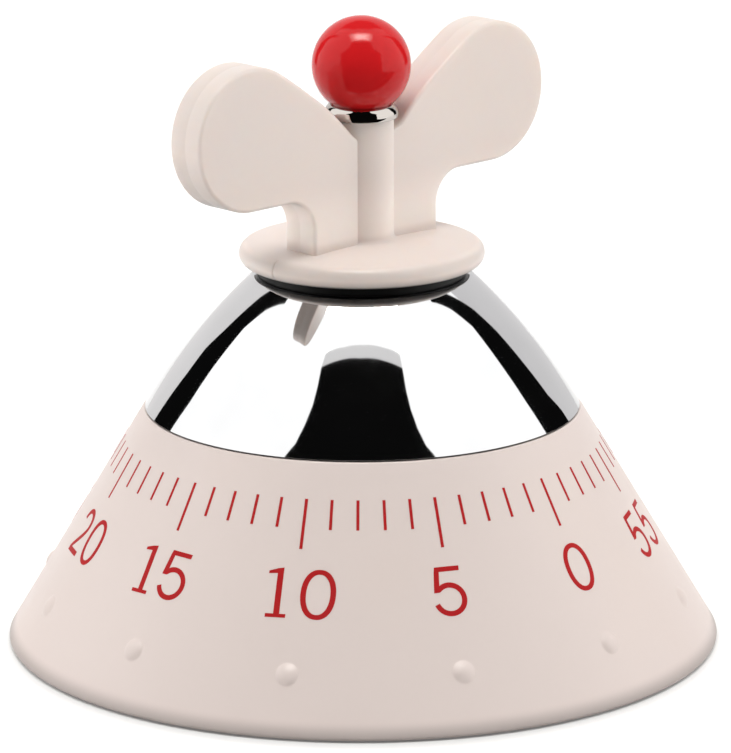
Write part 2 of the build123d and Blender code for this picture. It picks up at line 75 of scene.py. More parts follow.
# ---------------------------------------------------------------------------
# materials
# ---------------------------------------------------------------------------
class Nodes:
    def __init__(self, name):
        self.mat = bpy.data.materials.new(name)
        self.mat.use_nodes = True
        self.t = self.mat.node_tree
        self.bsdf = self.t.nodes["Principled BSDF"]
        tex = self.t.nodes.new("ShaderNodeTexCoord")
        self.co, self.facing = tex.outputs["Object"], tex.outputs["Normal"]

    def set(self, **kw):
        for k, v in kw.items():
            self.bsdf.inputs[k.replace("_", " ")].default_value = v

    def link(self, a, b):
        self.t.links.new(a, b)

    def mapping(self, scale):
        m = self.t.nodes.new("ShaderNodeMapping")
        m.inputs["Scale"].default_value = scale
        self.link(self.co, m.inputs["Vector"])
        return m.outputs["Vector"]

    def noise(self, scale, detail=3.0, rough=0.5, vector=None):
        n = self.t.nodes.new("ShaderNodeTexNoise")
        n.inputs["Scale"].default_value = scale
        n.inputs["Detail"].default_value = detail
        n.inputs["Roughness"].default_value = rough
        self.link(vector if vector is not None else self.co, n.inputs["Vector"])
        return n.outputs["Fac"]

    def ramp(self, fac, stops):
        r = self.t.nodes.new("ShaderNodeValToRGB")
        e = r.color_ramp.elements
        e[0].position, e[0].color = stops[0][0], (*stops[0][1], 1)
        e[1].position, e[1].color = stops[-1][0], (*stops[-1][1], 1)
        for p, c in stops[1:-1]:
            x = e.new(p)
            x.color = (*c, 1)
        self.link(fac, r.inputs["Fac"])
        return r.outputs["Color"]

    def span(self, fac, lo, hi, a=0.3, b=0.7):
        m = self.t.nodes.new("ShaderNodeMapRange")
        m.inputs["From Min"].default_value, m.inputs["From Max"].default_value = a, b
        m.inputs["To Min"].default_value, m.inputs["To Max"].default_value = lo, hi
        self.link(fac, m.inputs["Value"])
        return m.outputs["Result"]

    def mix(self, fac, a, b):
        m = self.t.nodes.new("ShaderNodeMix")
        m.data_type = "RGBA"
        self.link(fac, m.inputs[0])
        for sock, v in ((m.inputs[6], a), (m.inputs[7], b)):
            if isinstance(v, tuple):
                sock.default_value = (*v, 1)
            else:
                self.link(v, sock)
        return m.outputs[2]

    def fade(self, source, full, none, amount):
        """amount where the vector's Z is at full, nothing where it is at none."""
        axes = self.t.nodes.new("ShaderNodeSeparateXYZ")
        self.link(source, axes.inputs["Vector"])
        m = self.t.nodes.new("ShaderNodeMapRange")
        m.interpolation_type = "SMOOTHSTEP" if source == self.co else "LINEAR"
        lo, hi = min(full, none), max(full, none)
        m.inputs["From Min"].default_value, m.inputs["From Max"].default_value = lo, hi
        a, b = (amount, 0.0) if full < none else (0.0, amount)
        m.inputs["To Min"].default_value, m.inputs["To Max"].default_value = a, b
        self.link(axes.outputs["Z"], m.inputs["Value"])
        return m.outputs["Result"]

    def bump(self, fac, strength, distance):
        b = self.t.nodes.new("ShaderNodeBump")
        b.inputs["Strength"].default_value = strength
        b.inputs["Distance"].default_value = distance
        self.link(fac, b.inputs["Height"])
        self.link(b.outputs["Normal"], self.bsdf.inputs["Normal"])


def shade(c, k):
    return tuple(min(1.0, x * k) for x in c)


def plastic(name, base, warm, rough, spread, grain, grain_depth, spec=0.5, coat=0.0, coat_rough=0.1, glow=0.0, painted_shade=(), painted_light_bands=()):
    """Moulded plastic: slow tint drift, patchy sheen and a fine eroded grain."""
    n = Nodes(name)
    n.set(Metallic=0.0, IOR=1.49, Specular_IOR_Level=spec, Coat_Weight=coat, Coat_Roughness=coat_rough)
    if glow:
        n.set(Subsurface_Weight=glow, Subsurface_Radius=(1.0, 0.72, 0.55), Subsurface_Scale=0.0025)
    slow = n.noise(28.0, 2.0, 0.5)
    fine = n.noise(900.0, 4.0, 0.6)
    tint = n.ramp(slow, [(0.3, shade(base, 0.985)), (0.5, base), (0.72, warm)])
    speck = n.span(fine, 0.0, 0.05, 0.45, 0.75)
    color = n.mix(speck, tint, shade(base, 0.9))
    # painted shade: darker by height on the piece or by how far a face looks up or down
    for kind, amount, full, none in painted_shade:
        fac = n.fade(n.co if kind == "height" else n.facing, full, none, amount)
        color = n.mix(fac, color, shade(base, 0.1))
    # painted light and shade: stretches of height painted lighter or darker
    for gain, start, full, none in painted_light_bands:
        m = n.t.nodes.new("ShaderNodeMath")
        m.operation = "MULTIPLY"
        n.link(n.fade(n.co, full, start, 1.0), m.inputs[0])
        n.link(n.fade(n.co, full, none, 1.0), m.inputs[1])
        color = n.mix(m.outputs["Value"], color, shade(base, gain))
    n.link(color, n.bsdf.inputs["Base Color"])
    n.link(n.span(n.noise(160.0, 3.0, 0.55), rough - spread, rough + spread), n.bsdf.inputs["Roughness"])
    n.bump(n.noise(grain, 3.0, 0.55), 0.35, grain_depth)
    return n.mat


def metal(name, base, tint, rough, spread, stretch, scale, depth, drift=40.0):
    """Worked metal: fine lines along one direction, drift of tone and of polish."""
    n = Nodes(name)
    n.set(Metallic=1.0)
    slow = n.noise(drift, 3.0, 0.55)
    line = n.noise(scale, 4.0, 0.6, n.mapping(stretch))
    n.link(n.ramp(slow, [(0.3, shade(base, 0.93)), (0.52, base), (0.74, tint)]), n.bsdf.inputs["Base Color"])
    n.link(n.span(line, rough - spread, rough + spread), n.bsdf.inputs["Roughness"])
    n.bump(line, 0.3, depth)
    return n.mat


CREAM = (0.752, 0.656, 0.622)
# painted shade: the skirt's colour darkens over its lowest 3 mm towards the foot
cream = plastic("cream_plastic", CREAM, (0.758, 0.656, 0.614), 0.42, 0.05, 2600.0, 0.000012, spec=0.24,
                painted_shade=[("height", 0.50, 0.0003, 0.0029)])
# painted shade: faces looking down are darkened, faces looking up a little, the disc's underside nearly to black, and a
# band on the disc's rim; painted light: the lower stem and wing roots are lightened
cream_handle = plastic("cream_plastic_handle", (0.822, 0.733, 0.688), (0.828, 0.731, 0.676), 0.36, 0.04, 2600.0, 0.000008, spec=0.2, glow=0.4,
                       painted_shade=[("facing", 0.45, -0.9, -0.10), ("facing", 0.70, -1.0, -0.75), ("facing", 0.07, 0.6, 0.1), ("height", 0.85, 0.05918, 0.0597)],
                       painted_light_bands=[(1.2, 0.0631, 0.0648, 0.0745), (0.84, 0.0600, 0.0618, 0.0625)])
ink = plastic("red_print", (0.44, 0.008, 0.010), (0.47, 0.010, 0.011), 0.5, 0.06, 5200.0, 0.000006, spec=0.12)
# painted shade: the ball darkens towards its underside
red = plastic("red_gloss", (0.65, 0.014, 0.017), (0.68, 0.016, 0.016), 0.09, 0.02, 300.0, 0.0000010, spec=0.21,
              painted_shade=[("facing", 0.40, -0.8, 0.3)])
rubber = plastic("black_rubber", (0.006, 0.006, 0.006), (0.008, 0.0075, 0.007), 0.5, 0.07, 3200.0, 0.00002, spec=0.25)
under = plastic("base_plastic", (0.52, 0.47, 0.43), (0.53, 0.475, 0.425), 0.55, 0.06, 1500.0, 0.00003)
chrome = metal("chrome", (0.690, 0.695, 0.705), (0.705, 0.708, 0.712), 0.035, 0.012, (1.0, 1.0, 1.0), 120.0, 0.0000002)
collar_chrome = metal("collar_chrome", (0.52, 0.485, 0.455), (0.53, 0.492, 0.458), 0.05, 0.012, (1.0, 1.0, 1.0), 120.0, 0.0000002)
nickel = metal("bell_nickel", (0.70, 0.68, 0.64), (0.74, 0.70, 0.64), 0.16, 0.05, (1.0, 1.0, 6.0), 700.0, 0.000004)
steel = metal("turned_steel", (0.50, 0.50, 0.51), (0.56, 0.55, 0.54), 0.28, 0.06, (1.0, 1.0, 9.0), 900.0, 0.000002)
blued = metal("blued_steel", (0.16, 0.18, 0.23), (0.22, 0.20, 0.24), 0.34, 0.08, (1.0, 1.0, 7.0), 800.0, 0.000006)
brass = metal("stamped_brass", (0.72, 0.50, 0.20), (0.76, 0.53, 0.22), 0.30, 0.07, (1.0, 16.0, 1.0), 150.0, 0.0000012)

SLOT_LOOK = {"cream_plastic": cream, "chrome": chrome, "red_gloss": red, "black_rubber": rubber, "base_plastic": under,
             "steel": steel, "spring_steel": blued, "brass": brass, "bell_steel": nickel}
for part in frame["record"]["subparts"]:
    ob = frame["nodes"][part["node"]]
    look = SLOT_LOOK[part["material_slot"]]
    if not ob.data.materials:
        ob.data.materials.append(look)
    for s in ob.material_slots:
        s.material = look


# ---------------------------------------------------------------------------
# mesh helpers
# ---------------------------------------------------------------------------
def make(name, verts, faces, mat, sharp=35.0):
    me = bpy.data.meshes.new(name)
    me.from_pydata([tuple(v) for v in verts], [], faces)
    bm = bmesh.new()
    bm.from_mesh(me)
    bmesh.ops.recalc_face_normals(bm, faces=bm.faces)
    bm.to_mesh(me)
    bm.free()
    me.materials.append(mat)
    ob = bpy.data.objects.new(name, me)
    scene.collection.objects.link(ob)
    finish_shading(me, sharp)
    return ob


def finish_shading(me, sharp):
    me.polygons.foreach_set("use_smooth", [True] * len(me.polygons))
    me.update()
    me.set_sharp_from_angle(angle=math.radians(sharp))


def turned(name, profile, azimuths, mat, sharp=35.0, shift=None):
    """Closed surface of revolution. profile is a closed loop of (r, z); azimuths are degrees from -Y towards +X.
    shift(r, z, az) returns a move along (r, z) for dents and bumps."""
    n = len(azimuths)
    verts, rows = [], []
    for r, z in profile:
        if r < 1e-6:
            rows.append([len(verts)] * n)
            verts.append((0, 0, z * MM))
            continue
        row = []
        for az in azimuths:
            rr, zz = r, z
            if shift:
                dr, dz = shift(r, z, az)
                rr, zz = r + dr, z + dz
            a = math.radians(az)
            row.append(len(verts))
            verts.append((rr * math.sin(a) * MM, -rr * math.cos(a) * MM, zz * MM))
        rows.append(row)
    faces = []
    m = len(rows)
    for i in range(m):
        a, b = rows[i], rows[(i + 1) % m]
        if a[0] == a[1] and b[0] == b[1]:
            continue
        for j in range(n):
            k = (j + 1) % n
            q = [a[j], a[k], b[k], b[j]]
            q = [v for x, v in enumerate(q) if v not in q[:x]]
            faces.append(q)
    return make(name, verts, faces, mat, sharp)


def ring_angles(n):
    return [360.0 * k / n for k in range(n)]


def arc(c, r, a0, a1, n):
    return [(c[0] + r * math.cos(math.radians(a0 + (a1 - a0) * k / n)),
             c[1] + r * math.sin(math.radians(a0 + (a1 - a0) * k / n))) for k in range(n + 1)]


def corner(p, q, s, r, n=6):
    """Points of a fillet of radius r at corner q of the path p-q-s."""
    p, q, s = (np.array(x, float) for x in (p, q, s))
    a, b = (p - q) / np.linalg.norm(p - q), (s - q) / np.linalg.norm(s - q)
    half = math.acos(max(-1, min(1, float(a @ b)))) / 2
    t = r / math.tan(half)
    c = q + (a + b) / np.linalg.norm(a + b) * (r / math.sin(half))
    u, v = q + a * t - c, q + b * t - c
    ang = math.atan2(u[0] * v[1] - u[1] * v[0], float(u @ v))
    out = []
    for k in range(n + 1):
        w = ang * k / n
        out.append((c[0] + u[0] * math.cos(w) - u[1] * math.sin(w), c[1] + u[0] * math.sin(w) + u[1] * math.cos(w)))
    return out


# ---------------------------------------------------------------------------
# dial skirt with its grip bumps
# ---------------------------------------------------------------------------
wall_r = WALL / COS_S
low_in, low_out, top_out, top_in = (51.2, RIM_Z), (cone_r(RIM_Z), RIM_Z), (TOP_R, TOP_Z), (TOP_R - wall_r, TOP_Z)
foot_arc = corner(low_in, low_out, top_out, 0.34, 10)
rim_arc = corner(low_out, top_out, top_in, 0.32, 6)
heights = [1.0, 1.5, 2.1, 2.8, 3.6, 4.6, 5.6, 6.1] + [6.4 + 0.1 * k for k in range(46)] + [11.3, 12.0, 13.0, 16.0, 20.0, 24.0, 28.0, 32.0, 35.0, 35.8]
skirt_profile = (foot_arc + [(cone_r(z), z) for z in heights] + rim_arc
                 + corner(top_out, top_in, (cone_r(3.4) - wall_r, 3.4), 0.2, 3)
                 + [(cone_r(z) - wall_r, z) for z in (30.0, 20.0, 10.0, 3.4)] + [(51.2, 3.4), low_in])
bump_az = [ZERO_AZ + 30.0 * k for k in range(12)]


def bump_shift(r, z, az):
    if not 5.0 < z < 12.5 or r < cone_r(z) - 0.5:
        return 0.0, 0.0
    near = min(abs((az - b + 180.0) % 360.0 - 180.0) for b in bump_az)
    d = math.hypot(math.radians(near) * r, (z - BUMP_Z) / COS_S)
    rho = (BUMP_R ** 2 + BUMP_H ** 2) / (2 * BUMP_H)
    if d < BUMP_R:
        h0 = math.sqrt(rho * rho - d * d) - (rho - BUMP_H)
    else:
        h0 = -(d - BUMP_R) * BUMP_R / (rho - BUMP_H)
    h = 0.5 * (h0 + math.sqrt(h0 * h0 + 0.0025))
    if d > 1.7 * BUMP_R:
        h = 0.0
    return h * COS_S, h * SIN_S


skirt_az = []
for b in bump_az:
    skirt_az += [b - 2.7 + 0.1 * k for k in range(55)] + [b + 2.7 + 24.6 * k / 24 for k in range(1, 24)]
skirt = turned("dial_skirt_shell", skirt_profile, skirt_az, cream, 40.0, bump_shift)
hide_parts("dial_skirt")
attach(skirt, "case")


# ---------------------------------------------------------------------------
# print on the dial: closed thin films that follow the cone
# ---------------------------------------------------------------------------
FILM, ROOT = 0.03, -0.08


def on_cone(u, v, az, z_mid, h):
    rho_mid = APEX - z_mid / COS_S
    rho, th = math.hypot(u, rho_mid - v), math.atan2(u, rho_mid - v)
    a = math.radians(az) + th / SIN_S
    r, z = rho * SIN_S + h * COS_S, (APEX - rho) * COS_S + h * SIN_S
    return (r * math.sin(a) * MM, -r * math.cos(a) * MM, z * MM)


class Film:
    def __init__(self):
        self.v, self.f = [], []

    def add(self, grid, az, z_mid, closed=False):
        """grid[i][j] = (u, v): a patch; closed joins its last row to the first."""
        m, n = len(grid), len(grid[0])
        base = len(self.v)
        for h in (FILM, ROOT):
            for row in grid:
                for u, v in row:
                    self.v.append(on_cone(u, v, az, z_mid, h))

        def idx(i, j, layer):
            return base + layer * m * n + (i % m) * n + j
        last = m if closed else m - 1
        for i in range(last):
            for j in range(n - 1):
                self.f.append((idx(i, j, 0), idx(i, j + 1, 0), idx(i + 1, j + 1, 0), idx(i + 1, j, 0)))
                self.f.append((idx(i, j, 1), idx(i + 1, j, 1), idx(i + 1, j + 1, 1), idx(i, j + 1, 1)))
            for j in (0, n - 1):
                self.f.append((idx(i, j, 0), idx(i + 1, j, 0), idx(i + 1, j, 1), idx(i, j, 1)))
        if not closed:
            for i in (0, m - 1):
                for j in range(n - 1):
                    self.f.append((idx(i, j, 0), idx(i, j, 1), idx(i, j + 1, 1), idx(i, j + 1, 0)))


def lerp(p, q, t):
    return (p[0] + (q[0] - p[0]) * t, p[1] + (q[1] - p[1]) * t)


def band(left, right, k=2):
    return [[lerp(a, b, j / k) for j in range(k + 1)] for a, b in zip(left, right)]


def patch(a, b, c, d):
    """Four-cornered patch a-b-c-d cut into cells of about half a millimetre."""
    nu = max(1, int(math.dist(a, d) / 0.5 + 0.99))
    nv = max(1, int(math.dist(a, b) / 0.5 + 0.99))
    return [[lerp(lerp(a, b, j / nv), lerp(d, c, j / nv), i / nu) for j in range(nv + 1)] for i in range(nu + 1)]


def stroke(line, w):
    """Left and right edges of a pen stroke along a smooth line."""
    left, right = [], []
    for i, p in enumerate(line):
        q0, q1 = line[max(0, i - 1)], line[min(len(line) - 1, i + 1)]
        dx, dy = q1[0] - q0[0], q1[1] - q0[1]
        s = math.hypot(dx, dy)
        left.append((p[0] - dy / s * w / 2, p[1] + dx / s * w / 2))
        right.append((p[0] + dy / s * w / 2, p[1] - dx / s * w / 2))
    return left, right


def ellipse(c, rx, ry, a0, a1, n):
    return [(c[0] + rx * math.cos(math.radians(a0 + (a1 - a0) * k / n)),
             c[1] + ry * math.sin(math.radians(a0 + (a1 - a0) * k / n))) for k in range(n + 1)]


def bezier(p0, p1, p2, p3, n):
    out = []
    for k in range(n + 1):
        t = k / n
        w = ((1 - t) ** 3, 3 * t * (1 - t) ** 2, 3 * t * t * (1 - t), t ** 3)
        out.append(tuple(sum(a * p[x] for a, p in zip(w, (p0, p1, p2, p3))) for x in (0, 1)))
    return out


DIGIT_H = 7.62
WIDTH = {"0": 5.32, "1": 3.15, "2": 4.76, "3": 4.86, "4": 5.25, "5": 5.25}
SHIFT = {"0": 0.3, "5": -0.1, "10": 0.9, "15": 0.2, "20": 0.35}


def oval(c, rx, ry, p, n):
    out = []
    for k in range(n):
        a = math.radians(90 + 360 * k / n)
        x, y = math.cos(a), math.sin(a)
        out.append((c[0] + rx * math.copysign(abs(x) ** (2 / p), x), c[1] + ry * math.copysign(abs(y) ** (2 / p), y)))
    return out


def digit(ch):
    """List of (patch, closed) for one figure, lower left corner at the origin."""
    if ch == "0":
        return [(band(oval((2.66, 3.81), 2.66, 3.81, 2.2, 80), oval((2.66, 3.81), 1.82, 3.07, 2.15, 80)), True)]
    if ch == "1":
        return [(patch((1.25, 0.56), (2.17, 0.56), (2.17, 7.62), (1.25, 7.46)), False),
                (patch((0.0, 0.0), (3.15, 0.0), (3.15, 0.56), (0.0, 0.56)), False),
                (patch((-0.1, 6.66), (1.25, 6.74), (1.25, 7.46), (-0.1, 7.06)), False)]
    if ch == "2":
        line = ellipse((2.42, 5.25), 1.92, 1.96, 168, -14, 30)
        line += bezier(line[-1], (3.94, 3.42), (1.62, 1.90), (0.54, 0.80), 18)[1:]
        left, right = stroke(line, 0.82)
        left[-1], right[-1] = (1.14, 0.80), (0.0, 0.80)
        left[-2], right[-2] = lerp(left[-3], left[-1], 0.5), lerp(right[-3], right[-1], 0.5)
        return [(band(left, right), False), (patch((0.0, 0.0), (4.76, 0.0), (4.76, 0.80), (0.0, 0.80)), False)]
    if ch == "3":
        up = stroke(ellipse((2.28, 5.70), 1.60, 1.51, 156, -84, 34), 0.82)
        lo = stroke(ellipse((2.33, 2.30), 2.12, 1.89, 88, -158, 40), 0.82)
        return [(band(*up), False), (band(*lo), False)]
    if ch == "4":
        return [(patch((3.2, 0.56), (4.06, 0.56), (4.06, 7.62), (3.2, 7.62)), False),
                (patch((2.4, 0.0), (4.86, 0.0), (4.86, 0.56), (2.4, 0.56)), False),
                (patch((0.0, 1.72), (3.2, 1.72), (3.2, 2.46), (0.0, 2.46)), False),
                (patch((4.06, 1.72), (5.25, 1.72), (5.25, 2.46), (4.06, 2.46)), False),
                (patch((0.0, 2.46), (0.92, 2.46), (3.2, 6.30), (3.2, 7.62)), False)]
    outer = ellipse((2.64, 2.58), 2.6, 2.58, 123, -162, 46)
    inner = ellipse((2.64, 2.58), 1.78, 1.78, 142, -164, 46)
    outer[0], inner[0] = (1.26, 4.74), (1.15, 3.72)
    return [(patch((0.72, 6.86), (4.62, 6.90), (4.67, 7.62), (0.88, 7.60)), False),
            (patch((0.30, 3.72), (1.15, 3.72), (1.50, 6.86), (0.72, 6.86)), False),
            (band(outer, inner), False)]


ticks, numerals = Film(), Film()
for minute in range(60):
    az = PRINT_AZ - 6.0 * minute
    z0 = 25.05 if minute % 5 == 0 else 27.72
    z1 = 31.68
    half = (z1 - z0) / COS_S / 2
    w = 0.235 if minute % 5 == 0 else 0.225
    ticks.add(patch((-w, -half), (w, -half), (w, half), (-w, half)), az, (z0 + z1) / 2)
    if minute % 5 == 0:
        text = str(minute)
        gap = 1.9 if text == "10" else 1.45
        total = sum(WIDTH[c] for c in text) + gap * (len(text) - 1)
        x = -total / 2 + SHIFT.get(text, 0.25)
        for c in text:
            for grid, closed in digit(c):
                numerals.add([[(x + u, v - DIGIT_H / 2) for u, v in row] for row in grid], az, 19.25, closed)
            x += WIDTH[c] + gap
for name, film in (("dial_ticks", ticks), ("dial_numerals", numerals)):
    ob = make(name, film.v, film.f, ink, 30.0)
    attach(ob, "case")


# ---------------------------------------------------------------------------
# mirror dome
# ---------------------------------------------------------------------------
def dome_pt(t, d=0.0):
    b0, b1, b2 = (TOP_R, TOP_Z), DOME_CTRL, DOME_END
    p = [(1 - t) ** 2 * b0[k] + 2 * t * (1 - t) * b1[k] + t * t * b2[k] for k in (0, 1)]
    g = [2 * (1 - t) * (b1[k] - b0[k]) + 2 * t * (b2[k] - b1[k]) for k in (0, 1)]
    n = math.hypot(*g)
    return (p[0] - d * g[1] / n, p[1] + d * g[0] / n)


def dome_t(z, d=0.0):
    lo, hi = 0.0, 1.0
    for _ in range(50):
        mid = (lo + hi) / 2
        lo, hi = (mid, hi) if dome_pt(mid, d)[1] < z else (lo, mid)
    return lo


ta, tb = dome_t(TOP_Z + DOME_GAP), dome_t(DOME_FLAT_Z - 0.2)
outer = [dome_pt(ta + (tb - ta) * k / 72) for k in range(73)]
ti0, ti1 = dome_t(TOP_Z + DOME_GAP, DOME_WALL), dome_t(DOME_FLAT_Z - DOME_WALL - 0.1, DOME_WALL)
inner = [dome_pt(ti1 + (ti0 - ti1) * k / 24, DOME_WALL) for k in range(25)]
lip = [(outer[0][0] - 0.12, outer[0][1]), (inner[-1][0] + 0.05, outer[0][1])]
crown = [(outer[-1][0] - 0.16, DOME_FLAT_Z - 0.06), (outer[-1][0] - 0.4, DOME_FLAT_Z), (4.0, DOME_FLAT_Z), (4.0, DOME_FLAT_Z - DOME_WALL)]
outer[0] = dome_pt(dome_t(TOP_Z + DOME_GAP + 0.08))
dome = turned("dome_shell", outer + crown + inner + lip[::-1], ring_angles(360), chrome, 30.0)
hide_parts("dome")
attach(dome, "knob")

# ---------------------------------------------------------------------------
# black ring under the handle
# ---------------------------------------------------------------------------
zr0, zr1 = DOME_FLAT_Z, DISC_MID_Z - DISC_EDGE
ring_profile = ([(RING_IN_R, zr0), (14.5, zr0)] + corner((14.5, zr0), (RING_R, zr0), (RING_R, zr1 - 0.3), 0.4, 8)
                + corner((RING_R, zr0), (RING_R, zr1 - 0.17), (RING_LIP_R, zr1 - 0.07), 0.12, 6)
                + [(RING_LIP_R - 0.03, zr1 - 0.072), (RING_LIP_R, zr1 - 0.05), (RING_LIP_R, zr1 - 0.02), (RING_LIP_R - 0.03, zr1), (14.5, zr1), (RING_IN_R, zr1)])
ring = turned("ring_seal", ring_profile, ring_angles(240), rubber, 35.0)
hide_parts("gasket_ring")
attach(ring, "knob")

# ---------------------------------------------------------------------------
# handle: disc, stem and two wings in one moulding
# ---------------------------------------------------------------------------
zd0, zd1 = DISC_MID_Z - DISC_EDGE, DISC_MID_Z + DISC_EDGE
re = DISC_R - DISC_EDGE


def crown_z(r):
    f = max(0.0, min(1.0, (re - r) / (re - STEM_R)))
    return zd1 + (DISC_CROWN_Z - zd1) * (1 - (1 - f) ** 2)


top_run = [(re - 0.35 * k - 0.015 * k * k, 0) for k in range(1, 20)]
top_run = [(r, crown_z(r)) for r, _ in top_run if r > STEM_R + 1.2]
stem_fillet = corner((STEM_R + 3.0, crown_z(STEM_R + 3.0)), (STEM_R, crown_z(STEM_R)), (STEM_R, STEM_TOP_Z), 0.6, 6)
handle_profile = ([(0.0, zr0), (RING_IN_R - 0.05, zr0), (RING_IN_R - 0.05, zd0), (14.0, zd0), (re - 0.4, zd0)]
                  + arc((re, DISC_MID_Z), DISC_EDGE, -90, 90, 24) + top_run + stem_fillet
                  + [(STEM_R, 66.0), (STEM_R, 74.0), (STEM_R, STEM_TOP_Z - 0.3)]
                  + corner((STEM_R, 80.0), (STEM_R, STEM_TOP_Z), (0.0, STEM_TOP_Z), 0.2, 3) + [(0.0, STEM_TOP_Z)])
angles = sorted(set([2.0 * k for k in range(180)] + [s + d for s in (90.0, 270.0) for d in (-1.2, -0.8, -0.55, -0.35, -0.18, 0.18, 0.35, 0.55, 0.8, 1.2)]))


def seam_shift(r, z, az):
    if r < re or not zd0 + 0.1 < z < zd1 - 0.1:
        return 0.0, 0.0
    d = min(abs(az - 90.0), abs(az - 270.0)) * math.pi / 180 * r
    return (-0.17 * math.exp(-(d / 0.13) ** 2), 0.0)


core = turned("handle_moulding", handle_profile, angles, cream_handle, 32.0, seam_shift)


def catmull(points, t0, t1, n):
    """Smooth line through points with given end tangents."""
    p = [np.array(x, float) for x in points]
    m = [np.array(t0, float) * np.linalg.norm(p[1] - p[0])]
    m += [(p[k + 1] - p[k - 1]) / 2 for k in range(1, len(p) - 1)]
    m += [np.array(t1, float) * np.linalg.norm(p[-1] - p[-2])]
    out = []
    for k in range(len(p) - 1):
        for i in range(n):
            t = i / n
            h = (2 * t ** 3 - 3 * t * t + 1, t ** 3 - 2 * t * t + t, -2 * t ** 3 + 3 * t * t, t ** 3 - t * t)
            out.append(tuple(h[0] * p[k] + h[1] * m[k] + h[2] * p[k + 1] + h[3] * m[k + 1]))
    out.append(tuple(p[-1]))
    return out


def wing_outline():
    uc, zc = LOBE_C
    low = zc - LOBE_R
    tang = 31.8
    z0 = DISC_MID_Z + 0.3
    s = catmull([(uc - LOBE_R * math.sin(math.radians(tang)), zc + LOBE_R * math.cos(math.radians(tang))), *WING_SLOPE],
                (-math.cos(math.radians(tang)), -math.sin(math.radians(tang))), (-0.7, -0.72), 10)
    pts = [(WING_IN_X, z0), (8.0, z0), (NECK_X, z0)]
    pts += [(NECK_X, z) for z in (62.5, 64.0, 65.5)]
    pts += arc((NECK_X + NECK_FILLET, low - NECK_FILLET), NECK_FILLET, 180, 90, 20)
    pts += [(20.0, low), (22.5, low)]
    pts += arc(LOBE_C, LOBE_R, -90, 90 + tang, 84)
    pts += s[1:-1]
    pts += corner(s[-2], s[-1], (WING_IN_X, WING_IN_Z), 0.6, 3)[1:]
    pts += corner(s[-1], (WING_IN_X, WING_IN_Z), (WING_IN_X, z0), 0.9, 5)
    pts += [(WING_IN_X, z) for z in (76.0, 72.0, 68.0, 64.5)]
    out = [pts[0]]
    for p in pts[1:]:
        if math.dist(p, out[-1]) > 0.02:
            out.append(p)
    return out


def inset(loop, d):
    n = len(loop)
    out = []
    for i in range(n):
        p, q, s = (np.array(loop[(i + k) % n], float) for k in (-1, 0, 1))
        a, b = (q - p) / np.linalg.norm(q - p), (s - q) / np.linalg.norm(s - q)
        na, nb = np.array((-a[1], a[0])), np.array((-b[1], b[0]))
        m = (na + nb) / np.linalg.norm(na + nb)
        out.append(tuple(q + m * d / max(0.35, float(m @ na))))
    return out


def wing(side):
    loop = wing_outline()
    R = 0.6
    rows = []
    K = 7
    for k in range(K, -1, -1):
        t = math.radians(90.0 * k / K)
        rows.append((R * (1 - math.cos(t)), -(WING_T / 2 - R + R * math.sin(t))))
    rows.insert(0, (R + 0.5, -WING_T / 2))
    rows += [(0.0, -0.22), (0.035, -0.09), (0.05, 0.0), (0.035, 0.09), (0.0, 0.22)]
    for k in range(K + 1):
        t = math.radians(90.0 * k / K)
        rows.append((R * (1 - math.cos(t)), WING_T / 2 - R + R * math.sin(t)))
    rows.append((R + 0.5, WING_T / 2))
    verts, faces, n = [], [], len(loop)
    for d, y in rows:
        # one long edge of the inner end stands free of the stem, the rest runs into it
        deep = 1.6 * max(0.0, min(1.0, (2.2 - y * side) / 1.2))
        moved = inset(loop, d) if d > 0 else loop
        for (u0, z0), (u1, z1) in zip(loop, moved):
            k = max(0.15, min(1.0, (u0 - 4.0) / 1.6))
            u, z = u0 + (u1 - u0) * k, z0 + (z1 - z0) * k
            u -= deep * max(0.0, min(1.0, (5.4 - u) / 1.4))
            verts.append((side * u * MM, y * MM, z * MM))
    for i in range(len(rows) - 1):
        for j in range(n):
            k = (j + 1) % n
            faces.append((i * n + j, i * n + k, (i + 1) * n + k, (i + 1) * n + j))
    faces.append(tuple(range(n)))
    faces.append(tuple(range((len(rows) - 1) * n, len(rows) * n)))
    return make("wing_%s" % ("right" if side > 0 else "left"), verts, faces, cream_handle, 32.0)


def join_solid(target, tools, sharp):
    """Unites closed solids into the target's mesh and removes the tools."""
    for t in tools:
        m = target.modifiers.new("unite", "BOOLEAN")
        m.operation, m.solver, m.object = "UNION", "EXACT", t
    bpy.context.view_layer.update()
    dg = bpy.context.evaluated_depsgraph_get()
    me = bpy.data.meshes.new_from_object(target.evaluated_get(dg))
    target.modifiers.clear()
    target.data = me
    for t in tools:
        bpy.data.objects.remove(t)
    finish_shading(me, sharp)


join_solid(core, [wing(1), wing(-1)], 28.0)
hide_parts("wing_handle")
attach(core, "knob")

# ---------------------------------------------------------------------------
# collar and ball
# ---------------------------------------------------------------------------
collar_profile = ([(2.6, COLLAR_Z0), (4.6, COLLAR_Z0)] + corner((4.6, COLLAR_Z0), (COLLAR_R - 0.06, COLLAR_Z0), (COLLAR_R, 82.5), 0.16, 4)
                  + arc((3.6, 82.55), 2.1, -4, 49, 18) + [(4.88, 84.20), (4.72, 84.10), (4.4, 83.78), (2.6, 82.9)])
collar = turned("collar", collar_profile, ring_angles(160), collar_chrome, 40.0)
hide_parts("collar_ring")
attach(collar, "knob")

low_a = -90 + math.degrees(math.asin(2.2 / BALL_R))
ball_profile = ([(0.0, 82.7), (2.2, 82.7)] + arc((0.0, BALL_Z), BALL_R, low_a, 90, 80)[:-1] + [(0.0, BALL_Z + BALL_R)])
ball = turned("ball", ball_profile, ring_angles(160), red, 40.0)
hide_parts("ball_finial")
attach(ball, "knob")

